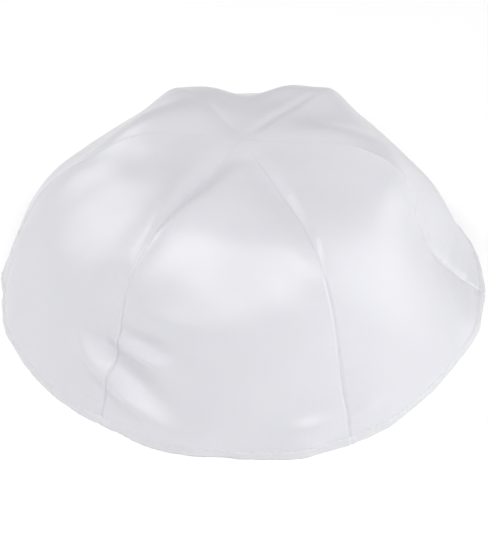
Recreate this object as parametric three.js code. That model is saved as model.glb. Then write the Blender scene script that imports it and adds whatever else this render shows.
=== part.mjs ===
// A white satin kippah: a skullcap sewn from six panels that meet at the crown, with a turned hem at its rim.
// Millimetres, +Z up. It stands on its rim at z = 0, its front towards -Y, and the origin is under its middle.
import * as THREE from 'three';

// ---- Driving dimensions ----
const APEX_HEIGHT = 70; // where the six seams cross at the crown, above the rim
const PANEL_LENGTH = 135; // from the crown to the rim along the cloth
const WALL = 1.4; // panel thickness: the satin, its backing and the air between them
const SEAM_GAP = 0.3; // between one panel and the next
const PANEL_START = 0.01; // shares of the way from the crown to the rim: the panels start below the crown
const PANEL_END = 0.959; // and end just above the hem
const HEM_START = 0.962; // the turned hem fills the rest
const HEM_WALL = 2.2; // the hem is the cloth folded double
const HEM_PROUD = 0.3; // how far the hem stands out of the panels

// ---- Mesh steps ----
const PANEL_ROWS = 16;
const PANEL_COLUMNS = 16;
const HEM_ROWS = 2;

// ---- The lines of cloth that run from the crown down to the rim ----
// Columns: turn, its direction near the crown and at the rim, in degrees from +X. Then crown, shoulder, side
// and skirt: [distance from the axis, height] at 1, 2, 3 and 4 fifths of the way. Then rim: its distance there.
const SEAMS = {
  right: [[-3, -3], [29, 67.5], [56, 60.4], [62.5, 40], [70.5, 20], 91.6],
  back_right: [[51, 53], [29, 69], [52.5, 63], [67.3, 45], [81, 22], 89.5],
  back_left: [[120, 118], [28, 69], [51, 60.5], [66.2, 44], [81, 22], 89.5],
  left: [[168, 177], [29, 68.2], [53, 58.3], [72, 42.5], [82.3, 23], 91.2],
  front_left: [[235.5, 235], [29, 70], [53, 60.7], [70, 43.5], [80, 22], 88.5],
  front_right: [[298, 294.6], [29, 70], [54.5, 62.2], [70, 43.5], [80, 22], 91.5],
};

// A panel lies between the seam in the same row above and the next seam. Its middle line, in the same columns.
const PANELS = {
  back_right: [[23.5, 24], [25, 67], [48.5, 57.5], [66.3, 38.3], [82.3, 18.5], 91],
  back: [[86, 86], [22, 68], [42, 58.8], [63, 42], [79, 20], 90],
  back_left: [[147, 148], [25, 69], [44.5, 59], [65.2, 41.3], [83.3, 22], 91],
  front_left: [[205, 207], [27, 67], [50.5, 58.8], [69, 44], [82.5, 24], 89.7],
  front: [[266, 265], [27, 68.4], [50.5, 59.2], [68.8, 42.5], [81.2, 20.5], 90],
  front_right: [[326, 326], [27, 66.8], [52, 59.3], [68.3, 42], [80.8, 20], 88],
};

// Soft rises (lift above 0) and dents (below 0) of the cloth, each a smooth mound that is longer one way.
// at: degrees from +X. down: share of the way from the crown to the rim. slope: its long way, in degrees from
// level. long, wide: half sizes in mm. lift: mm outwards.
const FOLDS = [
  { name: 'back left crest', at: 107, down: 0.36, slope: 75, long: 14, wide: 7, lift: 2.5 },
  { name: 'back right crest', at: 67, down: 0.36, slope: 105, long: 14, wide: 7, lift: 3.0 },
  { name: 'ridge behind the left seam', at: 153, down: 0.31, slope: 90, long: 20, wide: 14, lift: 4.6 },
  { name: 'ridge behind the right seam', at: 10, down: 0.27, slope: 90, long: 20, wide: 8, lift: 3.4 },
  { name: 'lower ridge behind the right seam', at: 14, down: 0.58, slope: 90, long: 26, wide: 10, lift: 3.0 },
  { name: 'mound beside the front left seam', at: 241, down: 0.37, slope: 90, long: 15, wide: 14, lift: 3.0 },
  { name: 'right rim swell', at: 343, down: 0.98, slope: 0, long: 10, wide: 10, lift: 1.4 },
  { name: 'front right rim swell', at: 304, down: 0.98, slope: 0, long: 10, wide: 10, lift: 1.3 },
  { name: 'rim swell by the front right seam', at: 282, down: 0.98, slope: 0, long: 9, wide: 8, lift: 1.4 },
  { name: 'front rim dip', at: 265, down: 0.98, slope: 0, long: 6, wide: 8, lift: -0.6 },
  { name: 'front left rim swell', at: 248, down: 0.98, slope: 0, long: 9, wide: 8, lift: 1.7 },
  { name: 'left rim swell', at: 198, down: 0.98, slope: 0, long: 10, wide: 10, lift: 1.2 },
  { name: 'left rim notch', at: 183, down: 0.97, slope: 0, long: 3.5, wide: 12, lift: -1.0 },
];

// Each seam is drawn in between its two panels: how deep, from the crown to the rim in equal steps.
const SEAM_DEPTHS = {
  right: [0, 1.1, 0.7, 0.3, 0.2, 0.2],
  back_right: [0, 1.6, 0.7, 0.4, 0.2, 0.2],
  back_left: [0, 0.9, 0.45, 0.3, 0.2, 0.2],
  left: [0, 1.3, 1.2, 0.4, 0.2, 0.2],
  front_left: [0, 4.2, 1.4, 0.2, 0.2, 0.2],
  front_right: [0, 4.6, 2.0, 0.2, 0.2, 0.2],
};
const SEAM_WIDTH = 5; // half width of that valley
const CALM = 0.06; // folds and valleys grow from nothing over this share of the way, so the panels meet level

const SATIN = { color: 0xe9e9ee, roughness: 0.42, metalness: 0 };
const HEM_SATIN = { color: 0xdfdfe6, roughness: 0.5, metalness: 0 };

// ---- The surface of the cloth ----
const { clamp, lerp, degToRad, radToDeg, euclideanModulo } = THREE.MathUtils;
const UP = new THREE.Vector3(0, 0, 1);

// A line from the crown to the rim: a smooth curve through its row's places. The first place is the crown's own,
// mirrored past the axis, which makes the top of the cap level.
function clothLine([turn, crown, shoulder, side, skirt, rim]) {
  const places = [[-crown[0], crown[1]], [0, APEX_HEIGHT], crown, shoulder, side, skirt, [rim, 0]];
  const profile = new THREE.CatmullRomCurve3(places.map(([r, z]) => new THREE.Vector3(r, 0, z)));
  profile.curveType = 'catmullrom';
  const steps = places.length - 1;
  return (down) => {
    const share = (1 + (steps - 1) * clamp(down, 0, 1)) / steps;
    const along = profile.getTangent(share);
    const point = profile.getPoint(share);
    const outward = new THREE.Vector3(-along.z, 0, along.x);
    const azimuth = degToRad(lerp(turn[0], turn[1], clamp((down - 0.2) / 0.8, 0, 1)));
    return { point: point.applyAxisAngle(UP, azimuth), outward: outward.applyAxisAngle(UP, azimuth) };
  };
}

const seamLines = Object.values(SEAMS).map(clothLine);
const seamDepths = Object.keys(SEAMS).map((name) => SEAM_DEPTHS[name]);
const middleLines = Object.values(PANELS).map(clothLine);

// How far the folds lift the cloth at a point.
function foldLift(point, down) {
  const radius = Math.hypot(point.x, point.y);
  const azimuth = radToDeg(Math.atan2(point.y, point.x));
  let total = 0;
  for (const { at, down: centre, slope, long, wide, lift } of FOLDS) {
    const level = degToRad(euclideanModulo(azimuth - at + 180, 360) - 180) * radius;
    const below = (down - centre) * PANEL_LENGTH;
    const cos = Math.cos(degToRad(slope));
    const sin = Math.sin(degToRad(slope));
    const alongFold = level * cos + below * sin;
    const acrossFold = below * cos - level * sin;
    total += lift * Math.exp(-((alongFold / long) ** 2) - (acrossFold / wide) ** 2);
  }
  return total;
}

// How far a seam draws the cloth in, at a distance from it.
function seamDraw(depths, distance, down) {
  const step = down * (depths.length - 1);
  const above = Math.min(Math.floor(step), depths.length - 2);
  const depth = lerp(depths[above], depths[above + 1], step - above);
  return depth * Math.exp(-((distance / SEAM_WIDTH) ** 2));
}

// A row of a panel's outer face, from one seam to the next, as points and the directions outwards from them. Its
// ends stay a margin away from the seams.
function panelRow(panel, down, margin) {
  const next = (panel + 1) % seamLines.length;
  const from = seamLines[panel](down);
  const to = seamLines[next](down);
  const middle = middleLines[panel](down);
  const width = from.point.distanceTo(to.point);
  const across = (name, u) => {
    const mean = from[name].clone().lerp(to[name], 0.5);
    const bulge = middle[name].clone().sub(mean).multiplyScalar(4 * u * (1 - u));
    return from[name].clone().lerp(to[name], u).add(bulge);
  };
  const row = [];
  for (let column = 0; column <= PANEL_COLUMNS; column += 1) {
    const u = clamp(column / PANEL_COLUMNS, margin / width, 1 - margin / width);
    const point = across('point', u);
    const outward = across('outward', u).normalize();
    const drawnBefore = seamDraw(seamDepths[panel], u * width, down);
    const drawnAfter = seamDraw(seamDepths[next], (1 - u) * width, down);
    const offset = (foldLift(point, down) - drawnBefore - drawnAfter) * clamp(down / CALM, 0, 1);
    row.push({ point: point.addScaledVector(outward, offset), outward });
  }
  return row;
}

// A row moved outwards (or inwards, below 0), as points.
function shifted(row, distance) {
  return row.map(({ point, outward }) => point.clone().addScaledVector(outward, distance));
}

// ---- Solids from loops of points ----
// Each loop is joined to the next one. A closed row of loops ends where it starts. An open one is closed at its
// ends, where a loop runs out along the first half of its points and back along the second half.
function loopSolid(loops, closed) {
  const size = loops[0].length;
  const triangles = [];
  const cell = (a, b, c, d) => triangles.push(a, b, c, a, c, d);
  const joins = closed ? loops.length : loops.length - 1;
  for (let line = 0; line < joins; line += 1) {
    const here = line * size;
    const below = ((line + 1) % loops.length) * size;
    for (let k = 0; k < size; k += 1) {
      const next = (k + 1) % size;
      cell(here + k, below + k, below + next, here + next);
    }
  }
  const last = (loops.length - 1) * size;
  for (let k = 0; !closed && k < size / 2 - 1; k += 1) {
    const back = size - 1 - k;
    cell(k, k + 1, back - 1, back);
    cell(last + k, last + back, last + back - 1, last + k + 1);
  }
  const geometry = new THREE.BufferGeometry().setFromPoints(loops.flat());
  geometry.setIndex(triangles);
  geometry.computeVertexNormals();
  return geometry;
}

// A panel: a thin curved wall, hollow under the cap, whose cut edges face its neighbours across the seams.
function panelGeometry(panel) {
  const loops = [];
  for (let line = 0; line <= PANEL_ROWS; line += 1) {
    const row = panelRow(panel, lerp(PANEL_START, PANEL_END, line / PANEL_ROWS), SEAM_GAP / 2);
    loops.push([...shifted(row, 0), ...shifted(row, -WALL).reverse()]);
  }
  return loopSolid(loops, false);
}

// The hem: one band round the whole rim, a little proud of the panels, with a flat edge that the cap stands on.
function hemGeometry() {
  const rows = [];
  for (let line = 0; line <= HEM_ROWS; line += 1) {
    const down = lerp(1, HEM_START, line / HEM_ROWS);
    rows.push(middleLines.flatMap((_, panel) => panelRow(panel, down, 0).slice(0, -1)));
  }
  for (const { point, outward } of rows[0]) {
    point.setZ(0);
    outward.setZ(0).normalize();
  }
  const faces = rows.map((row) => shifted(row, HEM_PROUD));
  faces.push(...rows.map((row) => shifted(row, HEM_PROUD - HEM_WALL)).reverse());
  return loopSolid(rows[0].map((_, around) => faces.map((face) => face[around])), true);
}

// ---- The cap ----
function piece(name, geometry, finish) {
  const mesh = new THREE.Mesh(geometry, new THREE.MeshStandardMaterial(finish));
  mesh.name = name;
  return mesh;
}

const group = new THREE.Group();
Object.keys(PANELS).forEach((name, panel) => group.add(piece(`panel_${name}`, panelGeometry(panel), SATIN)));
group.add(piece('turned_hem', hemGeometry(), HEM_SATIN));

export default group;
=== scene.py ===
# %% [markdown]
# # A white satin kippah
#
# This lesson makes a kippah, a soft skullcap of white satin, standing on its rim. The real cap is six
# curved panels sewn together edge to edge. Their seams meet at the crown, and the lower edge is turned
# under and topstitched. It is built here the same way: six thin panels, a turned hem, and two rows of
# stitches.
#
# Lengths in the tables are in millimetres, as a cap maker would note them, and become metres when a mesh is
# made.

# %% Modules, the fixed frame and its box
import math
from collections import namedtuple

import bmesh
import bpy
import numpy as np
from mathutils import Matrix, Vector


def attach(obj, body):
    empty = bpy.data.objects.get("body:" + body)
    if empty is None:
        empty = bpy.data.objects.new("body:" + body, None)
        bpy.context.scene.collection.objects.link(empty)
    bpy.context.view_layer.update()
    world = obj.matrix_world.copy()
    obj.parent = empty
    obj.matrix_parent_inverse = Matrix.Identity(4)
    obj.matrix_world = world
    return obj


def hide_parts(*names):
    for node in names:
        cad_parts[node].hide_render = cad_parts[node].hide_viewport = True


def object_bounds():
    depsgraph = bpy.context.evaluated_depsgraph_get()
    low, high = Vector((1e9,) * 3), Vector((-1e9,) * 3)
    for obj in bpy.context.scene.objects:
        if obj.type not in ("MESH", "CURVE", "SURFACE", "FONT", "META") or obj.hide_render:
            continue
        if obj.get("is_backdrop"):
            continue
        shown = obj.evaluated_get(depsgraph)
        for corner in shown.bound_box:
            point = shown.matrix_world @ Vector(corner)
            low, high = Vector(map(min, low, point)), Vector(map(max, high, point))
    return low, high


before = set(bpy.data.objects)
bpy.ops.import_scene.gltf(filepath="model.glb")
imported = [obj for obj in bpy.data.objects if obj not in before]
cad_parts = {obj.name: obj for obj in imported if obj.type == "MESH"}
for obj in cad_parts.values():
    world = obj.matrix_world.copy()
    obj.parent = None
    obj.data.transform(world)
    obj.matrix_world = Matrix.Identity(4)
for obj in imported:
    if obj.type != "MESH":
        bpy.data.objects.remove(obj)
cad_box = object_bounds()
MM = 0.001
print("frame nodes:", sorted(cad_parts))
print("frame box in mm:", [[round(x / MM, 1) for x in corner] for corner in cad_box])

# %% [markdown]
# ## The camera
#
# Small goods are photographed from a little above, with a long lens so that the near edge doesn't swell.
# The camera stands 80 cm from the middle of the cap, 40 degrees above the table, and is aimed at the table
# under the cap. That leaves the cap a little above the middle of the picture. It comes first, so that each
# later step can be looked at.

# %% Camera
CAP_MIDDLE = Vector((0, 0, 35)) * MM
CAMERA_DISTANCE = 0.8
CAMERA_ELEVATION = math.radians(40)
CAMERA_AIM = Vector((0.5, 8, 0)) * MM
CAMERA_LENS = 144.3

camera_data = bpy.data.cameras.new("camera")
camera_data.lens = CAMERA_LENS
camera_data.clip_start = 0.01
camera_data.clip_end = 50
camera = bpy.data.objects.new("camera", camera_data)
bpy.context.scene.collection.objects.link(camera)
back_off = Vector((0, -math.cos(CAMERA_ELEVATION), math.sin(CAMERA_ELEVATION)))
camera.location = CAP_MIDDLE + back_off * CAMERA_DISTANCE
camera.rotation_euler = (CAMERA_AIM - camera.location).to_track_quat("-Z", "Y").to_euler()
bpy.context.scene.camera = camera
print("camera stands at", [round(x, 3) for x in camera.location])

# %% [markdown]
# ## The lines of the cap
#
# A panel is drawn between two seams and bellies out, or in, along its middle. So the whole form of the cap
# is in twelve lines that run from the crown down to the rim: six seams and six middles. Each is a smooth
# curve through six places, given as a distance from the axis and a height. A simulation could drape the
# cloth instead, but a cap that is pressed and folded keeps a shape of its own, and a short table of
# sections holds that shape exactly.
#
# `turn` is the direction that a line runs in, in degrees from +X: first the one that it keeps down to
# `TURN_STARTS`, then the one at the rim.

# %% Sections of the seams and of the panels' middles
APEX_HEIGHT = 70
PANEL_LENGTH = 135
TURN_STARTS = 0.2
Line = namedtuple("Line", "turn crown shoulder side skirt rim")

SEAMS = {
    "right": Line((-3, -3), (29, 67.5), (56, 60.4), (62.5, 40), (70.5, 20), 91.6),
    "back_right": Line((51, 53), (29, 69), (52.5, 63), (67.3, 45), (81, 22), 89.5),
    "back_left": Line((120, 118), (28, 69), (51, 60.5), (66.2, 44), (81, 22), 89.5),
    "left": Line((168, 177), (29, 68.2), (53, 58.3), (72, 42.5), (82.3, 23), 91.2),
    "front_left": Line((235.5, 235), (29, 70), (53, 60.7), (70, 43.5), (80, 22), 88.5),
    "front_right": Line((298, 294.6), (29, 70), (54.5, 62.2), (70, 43.5), (80, 22), 91.5),
}
MIDDLES = {
    "back_right": Line((23.5, 24), (25, 67), (48.0, 57.1), (65.5, 38.0), (81.8, 18.5), 91),
    "back": Line((86, 86), (22, 68), (42, 58.8), (63, 42), (79, 20), 90),
    "back_left": Line((147, 148), (25, 69), (44.5, 59), (65.2, 41.3), (83.3, 22), 91),
    "front_left": Line((205, 207), (27, 67), (49.4, 57.7), (68.5, 44), (82.5, 24), 89.7),
    "front": Line((266, 265), (27, 68.4), (50.5, 59.2), (68.8, 42.5), (81.2, 20.5), 90),
    "front_right": Line((326, 326), (27, 66.8), (52, 59.3), (68.3, 42), (80.8, 20), 88),
}
print(len(SEAMS), "seams between", len(MIDDLES), "panels")


# %% [markdown]
# ## From a line to a curve
#
# `down` is how far along a line a point is, from 0 at the crown to 1 at the rim. Between two places the
# line is a cubic that leaves each place in the direction of its neighbours, so the curve has no corners. At
# the crown it starts level, because six tips are sewn together there and lie flat. Each curve also gives
# the way outwards from the cloth, which everything that lies on the cloth, or behind it, is measured along.

# %% Points of a line, and the way outwards from them
def spread(values):
    """A column of numbers, so that a list of points can be scaled one by one."""
    return np.asarray(values, float)[..., None]


def line_curve(line, down):
    top, bottom = (0, APEX_HEIGHT), (line.rim, 0)
    places = np.array([top, line.crown, line.shoulder, line.side, line.skirt, bottom], float)
    headings = np.empty_like(places)
    headings[1:-1] = (places[2:] - places[:-2]) / 2
    headings[0] = (line.crown[0], 0)
    headings[-1] = places[-1] - places[-2]
    steps = len(places) - 1
    along = np.clip(down, 0, 1) * steps
    k = np.minimum(along.astype(int), steps - 1)
    t = spread(along - k)
    start, end, leave, arrive = places[k], places[k + 1], headings[k], headings[k + 1]
    profile = (2 * t**3 - 3 * t**2 + 1) * start + (t**3 - 2 * t**2 + t) * leave
    profile += (3 * t**2 - 2 * t**3) * end + (t**3 - t**2) * arrive
    slope = 6 * (t**2 - t) * (start - end) + (3 * t**2 - 4 * t + 1) * leave + (3 * t**2 - 2 * t) * arrive
    slope /= np.linalg.norm(slope, axis=1, keepdims=True)
    azimuth = np.radians(np.interp(down, [TURN_STARTS, 1], line.turn))
    radial = np.stack([np.cos(azimuth), np.sin(azimuth), 0 * azimuth], axis=1)
    up = np.array([0, 0, 1.0])
    points = spread(profile[:, 0]) * radial + spread(profile[:, 1]) * up
    outward = spread(-slope[:, 1]) * radial + spread(slope[:, 0]) * up
    return points, outward


print("the front panel's middle line passes", line_curve(MIDDLES["front"], np.array([0.5]))[0].round(1))

# %% [markdown]
# ## Folds
#
# Satin remembers how it was packed, so the cap is not a clean dome. Each row is one soft mound (lift above
# 0) or hollow (below 0) of the cloth. A crease is a hollow with a mound beside it, so that the cloth
# between them tilts up to the light. `at` and `down` say where its middle is, `slope` turns its long way
# from level, and `long` and `wide` are its half sizes.

# %% Table of folds
Fold = namedtuple("Fold", "at down slope long wide lift")

FOLDS = [
    # crests of the back panel
    Fold(107, 0.36, 75, 14, 7, 2.5),
    Fold(67, 0.36, 105, 14, 7, 3.0),
    Fold(50, 0.36, 90, 10, 8, 0.7),
    # swells and dips of the rim, from the right round the front to the left
    Fold(343, 0.98, 0, 10, 10, 1.4),
    Fold(304, 0.98, 0, 10, 10, 1.3),
    Fold(282, 0.98, 0, 9, 8, 1.4),
    Fold(265, 0.98, 0, 6, 8, -0.6),
    Fold(248, 0.98, 0, 9, 8, 1.7),
    Fold(198, 0.98, 0, 10, 10, 1.2),
    Fold(183, 0.97, 0, 3.5, 12, -1.0),
    # packing creases that cross the front left seam
    Fold(246, 0.610, 0, 12, 5, 0.8),
    Fold(244, 0.690, 0, 12, 3.5, -1.7),
    Fold(243, 0.733, 12, 10, 3, 1.6),
    Fold(242, 0.805, 20, 15, 5, -2.2),
    Fold(241.5, 0.875, 23, 17, 4.2, 3.0),
    Fold(227.5, 0.795, 42, 9, 3, 1.2),
    Fold(231.5, 0.740, 50, 8, 3.5, -1.2),
    Fold(232.5, 0.530, 75, 3.5, 2.2, -0.9),
    # the soft break above the hem at the front
    Fold(270, 0.60, 0, 30, 12, 1.3),
    Fold(270, 0.83, 0, 30, 9, -0.6),
    Fold(287, 0.912, 0, 10, 4, 1.9),
    Fold(300, 0.900, -8, 6, 3.5, 1.4),
    # gathers along the right seam
    Fold(355.5, 0.66, 90, 4, 1.8, -0.7),
    Fold(355, 0.74, 90, 4, 1.8, -0.5),
    Fold(357, 0.85, 90, 3.5, 1.8, -0.6),
    Fold(357.5, 0.92, 90, 3, 1.8, -0.5),
    # ridges behind the left and the right seam, and a lower one on the right
    Fold(153, 0.31, 90, 20, 14, 4.6),
    Fold(11, 0.28, 90, 20, 10, 4.2),
    Fold(14, 0.60, 90, 26, 11, 3.6),
    # the corner of the front right panel, where the crown turns down beside the right seam
    Fold(350, 0.27, 90, 12, 12, 2.8),
    # the front panel stands up beside its left seam
    Fold(241, 0.33, 90, 15, 14, 3.2),
    Fold(237, 0.50, 90, 16, 13, 5.2),
]


def fold_lift(points, down):
    radius = np.hypot(points[..., 0], points[..., 1])
    azimuth = np.degrees(np.arctan2(points[..., 1], points[..., 0]))
    total = np.zeros_like(radius)
    for fold in FOLDS:
        level = np.radians((azimuth - fold.at + 180) % 360 - 180) * radius
        below = (spread(down) - fold.down) * PANEL_LENGTH
        turn = math.radians(fold.slope)
        along = level * math.cos(turn) + below * math.sin(turn)
        across = below * math.cos(turn) - level * math.sin(turn)
        total += fold.lift * np.exp(-((along / fold.long) ** 2) - (across / fold.wide) ** 2)
    return total


print(len(FOLDS), "folds, lifting the cloth up to", max(fold.lift for fold in FOLDS), "mm")

# %% [markdown]
# ## Seams
#
# Two panels are sewn inside out and turned, so the cloth rolls down into each seam from both sides. On the
# flat crown the allowances behind it hold a real valley open. Further down only a fine line shows, with
# small puckers where the thread draws the satin in. All of this is a distance inwards that fades away from
# the seam. The puckers are a few waves along the seam with seeded phases, so they never repeat but come out
# the same each time.
#
# At each step down the seam, a valley has a depth, a width on the panel `after` the seam and one on the
# panel `before` it, going anticlockwise as seen from above.

# %% Valleys, lines and puckers of the seams
VALLEY_STEPS = [0, 0.08, 0.15, 0.22, 0.30, 0.38, 0.50, 1]
Valley = namedtuple("Valley", "depths after before")

VALLEYS = {
    "right": Valley(
        [0, 0.8, 1.1, 1.1, 1.0, 0.8, 0.4, 0.2],
        [3, 4, 4.5, 4.5, 4.5, 4, 3, 3],
        [4, 8, 9, 9, 8, 5, 3, 3],
    ),
    "back_right": Valley(
        [0, 1.0, 1.6, 1.6, 1.2, 0.8, 0.4, 0.2],
        [2, 2.5, 2.5, 2.5, 2.5, 3, 3, 3],
        [2, 2, 2, 2, 2, 2, 3, 3],
    ),
    "back_left": Valley(
        [0, 0.6, 0.9, 0.9, 0.7, 0.5, 0.3, 0.2],
        [3, 4, 4, 3, 3, 3, 3, 3],
        [3, 3, 3, 3, 3, 3, 3, 3],
    ),
    "left": Valley(
        [0, 0.5, 1.0, 1.4, 1.6, 1.3, 0.5, 0.2],
        [4, 10, 12, 12, 10, 6, 4, 3],
        [3, 5, 6, 6, 5.5, 4.5, 3, 3],
    ),
    "front_left": Valley(
        [0, 2.6, 4.2, 4.2, 3.2, 1.4, 0.2, 0.2],
        [3, 4.5, 4.5, 4, 2.6, 1.8, 3, 3],
        [3, 5, 5, 4.5, 3.2, 2.4, 3, 3],
    ),
    "front_right": Valley(
        [0, 2.8, 4.6, 4.8, 3.6, 2.0, 0.2, 0.2],
        [3, 3.8, 4.4, 4.2, 3.2, 2, 3, 3],
        [4, 7, 9, 10, 9, 5, 3, 3],
    ),
}
VALLEY_SHAPE = 1.6
LINE_DEPTH = 0.42
LINE_WIDTH = 0.55
LINE_STEPS = [0, 0.3, 0.45]
LINE_SHARES = [0, 0, 1]
PUCKER_STEPS = [0, 0.4, 0.6, 0.8, 1]
PUCKER_DEPTHS = [0.01, 0.02, 0.04, 0.07, 0.07]
PUCKER_REACH = 6
PUCKER_WAVES = [3.7, 5.9, 9.3]
pucker_rng = np.random.default_rng(11)
PUCKER_PHASES = pucker_rng.uniform(0, 2 * np.pi, (len(SEAMS), 2, len(PUCKER_WAVES)))
STRONG_PUCKERS = {"right": 1.4}


def seam_draw(seam, side, distance, down):
    """How far a seam draws the cloth in. side is 0 for the panel after it, and 1 for the one before."""
    name = list(SEAMS)[seam]
    valley = VALLEYS[name]
    depth = spread(np.interp(down, VALLEY_STEPS, valley.depths))
    reach = spread(np.interp(down, VALLEY_STEPS, valley[1 + side]))
    dip = depth * np.exp(-((distance / reach) ** VALLEY_SHAPE))
    line_share = spread(np.interp(down, LINE_STEPS, LINE_SHARES))
    line = line_share * LINE_DEPTH * np.exp(-((distance / LINE_WIDTH) ** 2))
    waves = sum(
        np.cos(2 * np.pi * down * PANEL_LENGTH / length + PUCKER_PHASES[seam, side, k])
        for k, length in enumerate(PUCKER_WAVES)
    )
    strength = np.interp(down, PUCKER_STEPS, PUCKER_DEPTHS) * STRONG_PUCKERS.get(name, 1)
    beside_line = np.exp(-distance / PUCKER_REACH) * (1 - np.exp(-distance / LINE_WIDTH))
    pucker = spread(strength * waves) * beside_line
    return dip + line + pucker


# %% [markdown]
# ## The cloth's own unevenness
#
# Between the folds satin is never quite flat. A handful of long, low waves in random directions give it the
# faint clouds that show only where the light glances off. A noise texture on a Displace modifier could do
# this too, but a sum of waves is as smooth as the cloth and crosses from panel to panel without a step.

# %% Low waves over the whole cap
wave_rng = np.random.default_rng(5)
WAVE_COUNT = 22
SHORTEST_WAVE = 14
LONGEST_WAVE = 46
WAVE_LENGTHS = wave_rng.uniform(SHORTEST_WAVE, LONGEST_WAVE, WAVE_COUNT)
WAVE_WAYS = wave_rng.normal(size=(WAVE_COUNT, 3))
WAVE_WAYS /= np.linalg.norm(WAVE_WAYS, axis=1, keepdims=True)
WAVE_PHASES = wave_rng.uniform(0, 2 * np.pi, WAVE_COUNT)
WAVE_STEEPNESS = 0.0022


def unevenness(points):
    total = np.zeros(points.shape[:-1])
    for length, way, phase in zip(WAVE_LENGTHS, WAVE_WAYS, WAVE_PHASES):
        total += WAVE_STEEPNESS * length * np.sin(2 * np.pi * (points @ way) / length + phase)
    return total


# %% [markdown]
# ## The surface of a panel
#
# Across a panel the cloth runs from one seam to the next, bent so that it passes through the middle line.
# Folds, seams and unevenness then move each point along the way outwards. Near the crown they fade out, so
# the six tips meet. At the rim the way outwards turns level, so the edge stays in one plane and the cap
# stands on all of it.

# %% Surface of a panel
CALM_CROWN = 0.06
LEVEL_RIM = 0.05


def panel_surface(panel, down, across):
    """Points and ways outwards of a panel's outer face: a row for each down, a column for each across."""
    start, start_out = line_curve(list(SEAMS.values())[panel], down)
    end, end_out = line_curve(list(SEAMS.values())[(panel + 1) % len(SEAMS)], down)
    middle, middle_out = line_curve(list(MIDDLES.values())[panel], down)
    u = across[None, :, None]

    def between(a, b, m):
        a, b, m = a[:, None], b[:, None], m[:, None]
        return a * (1 - u) + b * u + 4 * u * (1 - u) * (m - (a + b) / 2)

    points = between(start, end, middle)
    outward = between(start_out, end_out, middle_out)
    outward[..., 2] *= spread(np.clip((1 - down) / LEVEL_RIM, 0, 1))
    outward /= np.linalg.norm(outward, axis=2, keepdims=True)
    width = spread(np.linalg.norm(end - start, axis=1))
    offset = fold_lift(points, down) + unevenness(points)
    offset -= seam_draw(panel, 0, across * width, down)
    offset -= seam_draw((panel + 1) % len(SEAMS), 1, (1 - across) * width, down)
    offset *= spread(np.clip(down / CALM_CROWN, 0, 1))
    return points + spread(offset) * outward, outward


# %% [markdown]
# ## Panels as thin shells
#
# A panel is a closed shell: the satin outside, its dull back inside, and a cut edge all round. The back
# face is the outer one moved in by the cloth's thickness, and a little more within a seam allowance's width
# of each seam, where the turned cloth lies double. Columns crowd towards the seams and rows towards the
# rim, because that is where the fine shapes are. Each point keeps its place on the cut cloth as a UV, so
# that the weave can follow the panel. Near the rim, the cloth is `RIM_MM` millimetres long for each unit of
# `down`.

# %% Mesh of a panel
CLOTH = 0.7
ALLOWANCE = 5
ALLOWANCE_CLOTH = 0.45
ALLOWANCE_EDGE = 0.25
ALLOWANCE_STARTS = 0.15
ACROSS_STEPS = 120
EDGE_CROWDING = 0.75
RIM_MM = 115
FOOT_ABOVE_RIM = 1.5
PANEL_TIP = 0.0006
FINE_ROWS_FROM = 0.93
PANEL_FOOT = 1 - FOOT_ABOVE_RIM / RIM_MM
UPPER_ROWS = 140
FINE_ROWS = 20
JOIN_GAP = 0.0005
SLIVER = 0.0001

steady = np.linspace(0, 1, ACROSS_STEPS + 1)
ACROSS = steady - EDGE_CROWDING * np.sin(2 * np.pi * steady) / (2 * np.pi)
upper_rows = np.linspace(PANEL_TIP, FINE_ROWS_FROM, UPPER_ROWS)
lower_rows = np.linspace(FINE_ROWS_FROM, PANEL_FOOT, FINE_ROWS + 1)[1:]
DOWN = np.concatenate([upper_rows, lower_rows])


def mesh_object(name, points, faces, uv=None, second=None):
    """An object from points in mm and quads. second says which faces take the second material."""
    mesh = bpy.data.meshes.new(name)
    mesh.from_pydata((np.asarray(points) * MM).tolist(), [], np.asarray(faces).tolist())
    if uv is not None:
        layer = mesh.uv_layers.new(name="cloth")
        loop_points = np.empty(len(mesh.loops), np.int32)
        mesh.loops.foreach_get("vertex_index", loop_points)
        layer.data.foreach_set("uv", np.asarray(uv, np.float32)[loop_points].ravel())
    if second is not None:
        mesh.polygons.foreach_set("material_index", np.asarray(second, np.int32))
    mesh.polygons.foreach_set("use_smooth", np.ones(len(mesh.polygons), bool))
    made = bpy.data.objects.new(name, mesh)
    bpy.context.scene.collection.objects.link(made)
    return made


def tidy_mesh(made):
    """Joins points that coincide, such as a panel's tip, and turns every face outwards."""
    work = bmesh.new()
    work.from_mesh(made.data)
    bmesh.ops.remove_doubles(work, verts=work.verts, dist=JOIN_GAP * MM)
    bmesh.ops.dissolve_degenerate(work, edges=work.edges, dist=SLIVER * MM)
    bmesh.ops.recalc_face_normals(work, faces=work.faces)
    work.to_mesh(made.data)
    work.free()


def grid_quads(rows, columns, first=0):
    """The quads of a grid of points whose numbers start at first."""
    corner = first + np.arange(rows - 1)[:, None] * columns + np.arange(columns - 1)[None, :]
    quads = np.stack([corner, corner + columns, corner + columns + 1, corner + 1], axis=-1)
    return quads.reshape(-1, 4)


def edge_quads(edge, other):
    """Quads between two lines of points."""
    return np.stack([edge[:-1], edge[1:], other[1:], other[:-1]], axis=-1)


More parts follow.
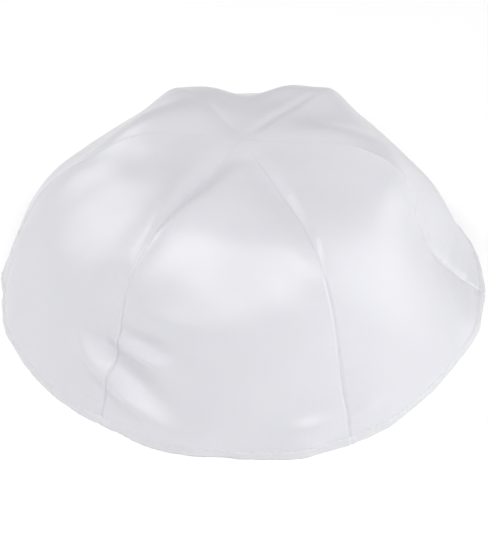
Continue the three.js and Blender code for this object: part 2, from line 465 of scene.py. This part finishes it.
def make_panel(panel, name):
    outer, outward = panel_surface(panel, DOWN, ACROSS)
    width = spread(np.linalg.norm(outer[:, -1] - outer[:, 0], axis=1))
    to_seam = np.minimum(ACROSS, 1 - ACROSS) * width
    doubled = ALLOWANCE_CLOTH / (1 + np.exp((to_seam - ALLOWANCE) / ALLOWANCE_EDGE))
    doubled *= spread(np.clip(DOWN / ALLOWANCE_STARTS, 0, 1))
    inner = outer - spread(CLOTH + doubled) * outward
    rows, columns = outer.shape[:2]
    count = rows * columns
    numbers = np.arange(2 * count).reshape(2, rows, columns)
    out_face = grid_quads(rows, columns)
    in_face = grid_quads(rows, columns, count)[:, ::-1]
    walls = [
        edge_quads(numbers[0, :, 0], numbers[1, :, 0]),
        edge_quads(numbers[1, :, -1], numbers[0, :, -1]),
        edge_quads(numbers[0, -1], numbers[1, -1]),
    ]
    faces = np.concatenate([out_face, in_face, *walls])
    second = np.arange(len(faces)) >= len(out_face)
    along = spread(DOWN * PANEL_LENGTH) + 0 * to_seam
    cut = np.stack([(ACROSS - 0.5) * width, along], axis=-1).reshape(-1, 2)
    both = np.concatenate([outer.reshape(-1, 3), inner.reshape(-1, 3)])
    made = mesh_object(name, both, faces, np.tile(cut, (2, 1)), second)
    tidy_mesh(made)
    return made


panels = {f"satin_{name}": make_panel(k, f"satin_{name}") for k, name in enumerate(MIDDLES)}
for name, panel in panels.items():
    print(name, len(panel.data.polygons), "faces")

# %% [markdown]
# ## The turned hem
#
# The lower edge of the sewn cap is folded under and stitched flat. From outside it is a narrow rounded band
# below the stitches, and inside it is a wider strip with a raw edge turned in. One cross-section, swept
# round the rim, makes both: it starts in the groove of the stitches, rolls under the edge and climbs the
# inside. A Curve bevel could sweep a section too, but this one has to follow the swells of the rim and wrap
# the panels, so it is measured from them. It bulges a little where it crosses the thick cloth of a seam, and
# slow waves round the rim keep it from looking machined.
#
# `height` is measured up the cloth from the rim and `out` outwards from the panels' outer face, both in mm.

# %% Hem
HEM_SECTION = [
    (3.15, -0.30), (2.90, 0.00), (2.45, 0.22), (1.75, 0.34), (1.00, 0.34), (0.45, 0.20), (0.12, -0.12),
    (0.00, -0.60), (0.10, -1.10), (0.40, -1.45), (1.00, -1.62), (2.00, -1.60), (2.40, -1.50), (2.80, -1.62),
    (4.50, -1.60), (6.30, -1.50), (6.75, -1.25), (6.60, -0.95), (4.50, -0.90), (2.20, -0.88), (1.30, -0.75),
    (1.25, -0.35), (1.60, -0.15),
]
HEM_ACROSS = 300
STITCH_PITCH = 2.6
STITCH_HEIGHT = 3.0
STITCH_GROOVE = 0.9
QUILTING = 0.22
SEAM_BULGE = 0.9
SEAM_BULGE_REACH = 2.2
SLOW_WAVES = (17, 29, 47, 71)
SLOW_HEIGHT = 0.05
SLOW_PHASE = 6.3
hem_rng = np.random.default_rng(3)


def rim_ring(height):
    """A closed ring of points on the panels' outer face at a height above the rim, and ways outwards."""
    down = np.array([1 - height / RIM_MM])
    across = np.arange(HEM_ACROSS) / HEM_ACROSS
    pieces = [panel_surface(panel, down, across) for panel in range(len(MIDDLES))]
    points = np.concatenate([surface[0] for surface, _ in pieces])
    outward = np.concatenate([ways[0] for _, ways in pieces])
    return points, outward


rim_points, _ = rim_ring(0)
gaps = np.linalg.norm(np.roll(rim_points, -1, axis=0) - rim_points, axis=1)
rim_length = gaps.sum()
rim_arc = np.concatenate([[0], np.cumsum(gaps)[:-1]])
stitch_count = round(rim_length / STITCH_PITCH)
pitch = rim_length / stitch_count
print("rim", round(rim_length, 1), "mm round, with", stitch_count, "stitches")


def make_hem():
    seam_arcs = rim_arc[::HEM_ACROSS]
    from_seam = np.abs(rim_arc[:, None] - seam_arcs[None, :])
    from_seam = np.minimum(from_seam, rim_length - from_seam).min(axis=1)
    thick_seam = 1 + SEAM_BULGE * np.exp(-((from_seam / SEAM_BULGE_REACH) ** 2))
    quilting = 1 - QUILTING * np.cos(2 * np.pi * rim_arc / pitch)
    slow = sum(
        np.sin(2 * np.pi * rim_arc * turns / rim_length + hem_rng.uniform(0, SLOW_PHASE))
        for turns in SLOW_WAVES
    )
    loops = []
    for height, out in HEM_SECTION:
        points, outward = rim_ring(height)
        near_stitches = math.exp(-(((height - STITCH_HEIGHT) / STITCH_GROOVE) ** 2))
        swell = 1 + (quilting - 1) * near_stitches
        moved = out * thick_seam * swell if out > 0 else out
        loops.append(points + spread(moved + SLOW_HEIGHT * slow) * outward)
    grid = np.stack(loops)
    rows, columns = grid.shape[:2]
    numbers = np.arange(rows * columns).reshape(rows, columns)
    numbers = np.concatenate([numbers, numbers[:1]])
    numbers = np.concatenate([numbers, numbers[:, :1]], axis=1)
    faces = np.stack([numbers[:-1, :-1], numbers[1:, :-1], numbers[1:, 1:], numbers[:-1, 1:]], axis=-1)
    heights = np.array([height for height, _ in HEM_SECTION])
    cut = np.stack([np.tile(rim_arc, (rows, 1)), np.tile(heights[:, None], (1, columns))], axis=-1)
    made = mesh_object("satin_hem", grid.reshape(-1, 3), faces.reshape(-1, 4), cut.reshape(-1, 2))
    tidy_mesh(made)
    return made


hem = make_hem()
print("hem", len(hem.data.polygons), "faces")

# %% [markdown]
# ## Stitches
#
# The hem is held by one line of machine stitches, about ten to the inch, which shows as a row outside and a
# row inside. Each stitch is a short thread that comes up through the cloth, lies along it and dives back. It
# is modelled as a small tube whose ends sink, and a whole row is one mesh made from arrays, because two
# hundred separate objects would be slow to handle. A bump texture would be cheaper, but would vanish from
# the outline and from the mesh.

# %% Stitch rows
STITCH_LENGTH = 1.7
STITCH_RADIUS = 0.17
STITCH_TAPER = 0.8
STITCH_SINK = 0.42
STITCH_SIDES = 6
STITCH_STATIONS = 7
PLACE_SPREAD = 0.05
LENGTH_SPREAD = 0.04
LEAN_SPREAD = 0.05
UP_STEP = 0.5
OUTSIDE_OUT = 0.04
INSIDE_HEIGHT = 2.4
INSIDE_OUT = -1.60


def stitch_row(name, height, out):
    """A row of thread tubes along the hem. out is how far from the panels' outer face it lies."""
    facing = 1 if out > 0 else -1
    ring, ring_out = rim_ring(height)
    above, _ = rim_ring(height + UP_STEP)
    along = np.linspace(-1, 1, STITCH_STATIONS)
    centres = (np.arange(stitch_count) + 0.5) * pitch + hem_rng.normal(0, PLACE_SPREAD, stitch_count)
    lengths = STITCH_LENGTH * (1 + hem_rng.normal(0, LENGTH_SPREAD, stitch_count))
    arcs = (centres[:, None] + along[None, :] * lengths[:, None] / 2) % rim_length

    def on_ring(values):
        columns = [np.interp(arcs, rim_arc, values[:, k], period=rim_length) for k in range(3)]
        return np.stack(columns, axis=-1)

    middle, outward = on_ring(ring), on_ring(ring_out)
    up = on_ring(above) - middle
    up /= np.linalg.norm(up, axis=2, keepdims=True)
    lean = hem_rng.normal(0, LEAN_SPREAD, stitch_count)
    sunk = out - facing * STITCH_SINK * along**6
    middle = middle + spread(sunk + 0 * arcs) * outward + spread(lean[:, None] * along) * up
    radius = STITCH_RADIUS * np.sqrt(1 - STITCH_TAPER * along**4)
    turn = (2 * np.pi * np.arange(STITCH_SIDES) / STITCH_SIDES)[None, None, :, None]
    circle = np.cos(turn) * outward[:, :, None] + np.sin(turn) * up[:, :, None]
    points = middle[:, :, None] + radius[None, :, None, None] * circle
    each = STITCH_STATIONS * STITCH_SIDES
    station, side = np.meshgrid(np.arange(STITCH_STATIONS - 1), np.arange(STITCH_SIDES), indexing="ij")
    here = station * STITCH_SIDES + side
    next_side = station * STITCH_SIDES + (side + 1) % STITCH_SIDES
    tube = np.stack([here, next_side, next_side + STITCH_SIDES, here + STITCH_SIDES], axis=-1).reshape(-1, 4)
    tubes = (np.arange(stitch_count)[:, None, None] * each + tube[None]).reshape(-1, 4)
    first_end = np.arange(STITCH_SIDES)[::-1]
    ends = np.concatenate([first_end[None], (first_end[::-1] + each - STITCH_SIDES)[None]])
    ends = (np.arange(stitch_count)[:, None, None] * each + ends[None]).reshape(-1, STITCH_SIDES)
    made = mesh_object(name, points.reshape(-1, 3), tubes)
    work = bmesh.new()
    work.from_mesh(made.data)
    work.verts.ensure_lookup_table()
    for end in ends:
        work.faces.new([work.verts[k] for k in end])
    bmesh.ops.recalc_face_normals(work, faces=work.faces)
    for face in work.faces:
        face.smooth = True
    work.to_mesh(made.data)
    work.free()
    return made


outer_stitches = stitch_row("stitches_outside", STITCH_HEIGHT, OUTSIDE_OUT)
inner_stitches = stitch_row("stitches_inside", INSIDE_HEIGHT, INSIDE_OUT)
print("stitch rows", len(outer_stitches.data.polygons), "and", len(inner_stitches.data.polygons), "faces")

# %% [markdown]
# ## Writing shaders as maths
#
# A finish is a small network of nodes. Here one class holds a node's output and lets Python's own + and *
# add the Math nodes, so that a line of code reads as the formula it is. A second class is the material,
# with one method that adds any other node: its settings first, then the values or links of its sockets.

# %% Helper classes for finishes
class Wire:
    """The output of a node, which takes part in sums as a number would."""

    def __init__(self, finish, socket):
        self.finish = finish
        self.socket = socket

    def maths(self, operation, first, second=None):
        values = {0: first} if second is None else {0: first, 1: second}
        return self.finish.node("ShaderNodeMath", {"operation": operation}, values)

    def __add__(self, other):
        return self.maths("ADD", self, other)

    __radd__ = __add__

    def __mul__(self, other):
        return self.maths("MULTIPLY", self, other)

    def sine(self):
        return self.maths("SINE", self)


class Finish:
    """A material and the nodes in it."""

    def __init__(self, name):
        self.material = bpy.data.materials.new(name)
        self.material.use_nodes = True
        self.tree = self.material.node_tree
        self.tree.nodes.clear()

    def node(self, kind, settings=None, values=None, output=0):
        made = self.tree.nodes.new(kind)
        for setting, value in (settings or {}).items():
            setattr(made, setting, value)
        for socket, value in (values or {}).items():
            if isinstance(value, Wire):
                self.tree.links.new(value.socket, made.inputs[socket])
            else:
                made.inputs[socket].default_value = value
        return Wire(self, made.outputs[output]) if made.outputs else None

    def split(self, vector):
        """The x, y and z of a vector."""
        parts = self.node("ShaderNodeSeparateXYZ", values={0: vector})
        node = parts.socket.node
        return [Wire(self, node.outputs[k]) for k in range(3)]

    def noise(self, u, v, grain, detail):
        """A noise on the cloth. grain is how many of its waves go to a mm across and along the panel."""
        place = self.node("ShaderNodeCombineXYZ", values={0: u * grain[0], 1: v * grain[1]})
        return self.node("ShaderNodeTexNoise", values={"Vector": place, "Scale": 1.0, "Detail": detail})

    def mix(self, factor, first, second):
        settings = {"data_type": "RGBA", "clamp_factor": True}
        return self.node("ShaderNodeMix", settings, {0: factor, 6: first, 7: second}, output=2)

    def show(self, shader):
        self.node("ShaderNodeOutputMaterial", values={"Surface": shader})
        print(self.material.name, "has", len(self.tree.nodes), "nodes")
        return self.material


# %% [markdown]
# ## Satin
#
# Satin floats its warp threads over many weft threads, so its face is smooth and glossy along the warp and
# the weave hardly shows. The highlights are broad and soft. The finish is a white cloth with a medium
# roughness and a little sheen, and the weave is a very small bump: fine ridges along the panel, broken up
# where the warp dives. The threads' uneven gloss is a noise stretched along the warp. Everything is in the
# panel's own cut-cloth coordinates, in mm.

# %% Satin
FACE_COLOURS = ((0.80, 0.80, 0.835, 1), (0.775, 0.775, 0.815, 1))
BACK_COLOURS = ((0.74, 0.74, 0.76, 1), (0.70, 0.70, 0.72, 1))
# The hem's two whites are a touch less blue than the face's. This is painted light: a more neutral cast near
# the hem that the cloth itself does not have.
HEM_COLOURS_WITH_PAINTED_LIGHT = ((0.80, 0.80, 0.825, 1), (0.775, 0.775, 0.80, 1))
THREAD_PITCH = 0.34
FLOAT_GRAIN = (2.9, 0.55)
SLUB_GRAIN = (0.9, 0.05)
CLOUD_GRAIN = (0.05, 0.05)
UNEVEN_GLOSS = 0.12


def satin(name, colours, roughness, weave_height, sheen=0.25):
    """A satin finish. colours are the lighter and the darker one that it drifts between."""
    light, shade = colours
    finish = Finish(name)
    u, v, _ = finish.split(finish.node("ShaderNodeUVMap", {"uv_map": "cloth"}))
    threads = (u * (2 * math.pi / THREAD_PITCH)).sine() * 0.5 + 0.5
    floats = finish.noise(u, v, FLOAT_GRAIN, detail=1.0)
    weave = threads * (floats * 0.8 + 0.2)
    slubs = finish.noise(u, v, SLUB_GRAIN, detail=3.0)
    clouds = finish.noise(u, v, CLOUD_GRAIN, detail=2.0)
    colour = finish.mix(clouds * 0.5 + slubs * 0.5, shade, light)
    bump = finish.node(
        "ShaderNodeBump", values={"Strength": 1.0, "Distance": weave_height * MM, "Height": weave}
    )
    shader = finish.node(
        "ShaderNodeBsdfPrincipled",
        values={
            "Base Color": colour,
            "Roughness": roughness - UNEVEN_GLOSS / 2 + slubs * UNEVEN_GLOSS,
            "Sheen Weight": sheen,
            "Sheen Roughness": 0.45,
            "Normal": bump,
        },
    )
    return finish.show(shader)


satin_face = satin("satin_face", FACE_COLOURS, roughness=0.37, weave_height=0.012)
satin_back = satin("satin_back", BACK_COLOURS, roughness=0.75, weave_height=0.03, sheen=0.1)
satin_hem = satin("satin_hem", HEM_COLOURS_WITH_PAINTED_LIGHT, roughness=0.4, weave_height=0.02)

# %% [markdown]
# ## Thread
#
# Sewing thread is two or three twisted plies, slightly glossier and whiter than the cloth. The twist is far
# too fine to see at this size, so it is a bump of slanting bands. The same bands darken the colour where
# the bump is low: painted shade in the grooves between the plies.

# %% Thread
THREAD_PAINTED_GROOVE_SHADE = (0.78, 0.78, 0.80, 1)
THREAD_LIGHT = (0.86, 0.86, 0.88, 1)
TWIST_PITCH = 0.45
TWIST_HEIGHT = 0.03


def thread_finish():
    finish = Finish("white_thread")
    place = finish.node("ShaderNodeTexCoord", output="Object")
    x, y, z = finish.split(place)
    twist = ((x + y + z) * (2 * math.pi / (TWIST_PITCH * MM))).sine() * 0.5 + 0.5
    bump = finish.node(
        "ShaderNodeBump", values={"Strength": 0.6, "Distance": TWIST_HEIGHT * MM, "Height": twist}
    )
    # Painted shade: the colour darkens where the twist bump is low, in the grooves between the plies.
    shader = finish.node(
        "ShaderNodeBsdfPrincipled",
        values={"Base Color": finish.mix(twist, THREAD_PAINTED_GROOVE_SHADE, THREAD_LIGHT), "Roughness": 0.4, "Normal": bump},
    )
    return finish.show(shader)


white_thread = thread_finish()

# %% [markdown]
# ## Joining the looks to the frame
#
# Each panel stands for one solid of the fixed frame and rides on its body. The size it was cut to is also
# worked out and printed: the panel as sewn, with 5 mm allowances at its sides and the turned hem at its
# foot.

# %% Finishes, bodies, and what each piece stands for
for name, panel in panels.items():
    panel.data.materials.append(satin_face)
    panel.data.materials.append(satin_back)
    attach(panel, "root")
    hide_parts(name.replace("satin_", "panel_"))
hem.data.materials.append(satin_hem)
for row in (outer_stitches, inner_stitches):
    row.data.materials.append(white_thread)
    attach(row, "root")
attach(hem, "root")
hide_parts("turned_hem")

# %% Cut sizes of the cloth
HEM_TURN = 10


def cut_size(panel):
    """Width and length in mm, and area in square mm, of a panel's flat cut with its allowances."""
    rows, _ = panel_surface(panel, DOWN, ACROSS)
    widths = np.linalg.norm(np.diff(rows, axis=1), axis=2).sum(axis=1)
    steps = np.linalg.norm(np.diff(rows[:, len(ACROSS) // 2], axis=0), axis=1)
    sewn = ((widths[1:] + widths[:-1]) / 2 * steps).sum()
    length = steps.sum()
    wide = widths.max() + 2 * ALLOWANCE
    return wide, length + HEM_TURN, sewn + 2 * ALLOWANCE * length + HEM_TURN * wide


for k, panel in enumerate(panels.values()):
    wide, length, area = cut_size(k)
    flat = (wide * MM, length * MM)
    area * MM**2
    print(panel.name, "is cut", round(wide), "by", round(length), "mm,", round(area / 100), "square cm")
print("hem strip is", HEM_TURN, "by", round(rim_length), "mm")

# %% [markdown]
# ## Table and light
#
# White on white needs a bright, even light, but satin only looks like satin when its folds turn from light
# to shade. So the room itself is dim, and four large soft lights share the work: a strong key high at the
# front right, a fill at the front left, a low one at the right that reaches the steep sides, and one behind
# at the left that rims the crown. One big dome of light would be simpler, but it would flatten every fold.
# The table is a plain pale sheet with a little glow of its own, so that it stays whiter than the cloth, and
# the view's contrast look spreads the cloth's narrow range of whites.

# %% Table, room and lights
FLOOR_RADIUS = 4.0
FLOOR_BELOW = 0.05
FLOOR_GLOW = 0.12
ROOM_LIGHT = 0.20
LIGHT_DISTANCE = 1.6


def pale_floor():
    finish = Finish("pale_floor")
    shader = finish.node(
        "ShaderNodeBsdfPrincipled",
        values={
            "Base Color": (0.93, 0.93, 0.93, 1),
            "Roughness": 0.9,
            "Emission Color": (1, 1, 1, 1),
            "Emission Strength": FLOOR_GLOW,
        },
    )
    return finish.show(shader)


floor_mesh = bpy.data.meshes.new("floor")
disc = bmesh.new()
bmesh.ops.create_circle(disc, cap_ends=True, segments=96, radius=FLOOR_RADIUS)
disc.to_mesh(floor_mesh)
disc.free()
floor = bpy.data.objects.new("floor", floor_mesh)
floor.location.z = -FLOOR_BELOW * MM
floor_mesh.materials.append(pale_floor())
bpy.context.scene.collection.objects.link(floor)
floor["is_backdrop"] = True

world = bpy.data.worlds.new("studio")
world.use_nodes = True
background = world.node_tree.nodes["Background"]
background.inputs["Color"].default_value = (1, 1, 1, 1)
background.inputs["Strength"].default_value = ROOM_LIGHT
bpy.context.scene.world = world


def soft_light(name, azimuth, elevation, size, strength):
    """A square area light. strength is the light that it gives at the cap, in watts per square metre."""
    data = bpy.data.lights.new(name, "AREA")
    data.size = size
    data.energy = strength * math.pi * LIGHT_DISTANCE**2
    made = bpy.data.objects.new(name, data)
    a = math.radians(azimuth)
    e = math.radians(elevation)
    way = Vector((math.cos(a) * math.cos(e), math.sin(a) * math.cos(e), math.sin(e)))
    made.location = CAP_MIDDLE + way * LIGHT_DISTANCE
    made.rotation_euler = (-way).to_track_quat("-Z", "Y").to_euler()
    bpy.context.scene.collection.objects.link(made)


soft_light("key", azimuth=290, elevation=60, size=0.8, strength=0.98)
soft_light("front_left", azimuth=242, elevation=45, size=0.8, strength=0.36)
soft_light("right_low", azimuth=4, elevation=11, size=1.1, strength=0.80)
soft_light("back_left", azimuth=149, elevation=29, size=0.75, strength=0.60)

bpy.context.scene.view_settings.view_transform = "Standard"
bpy.context.scene.view_settings.look = "High Contrast"

# %% [markdown]
# ## The two boxes
#
# Both boxes, the frame's and the finished cap's, are printed. The finished cap has to keep inside the
# frame's box, give or take the softness of cloth.

# %% Boxes, and the end
looks_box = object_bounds()
boxes = {"cad": [list(corner) for corner in cad_box], "visual": [list(corner) for corner in looks_box]}
for name, box in boxes.items():
    print(name, "box in mm:", [[round(x / MM, 1) for x in corner] for corner in box])
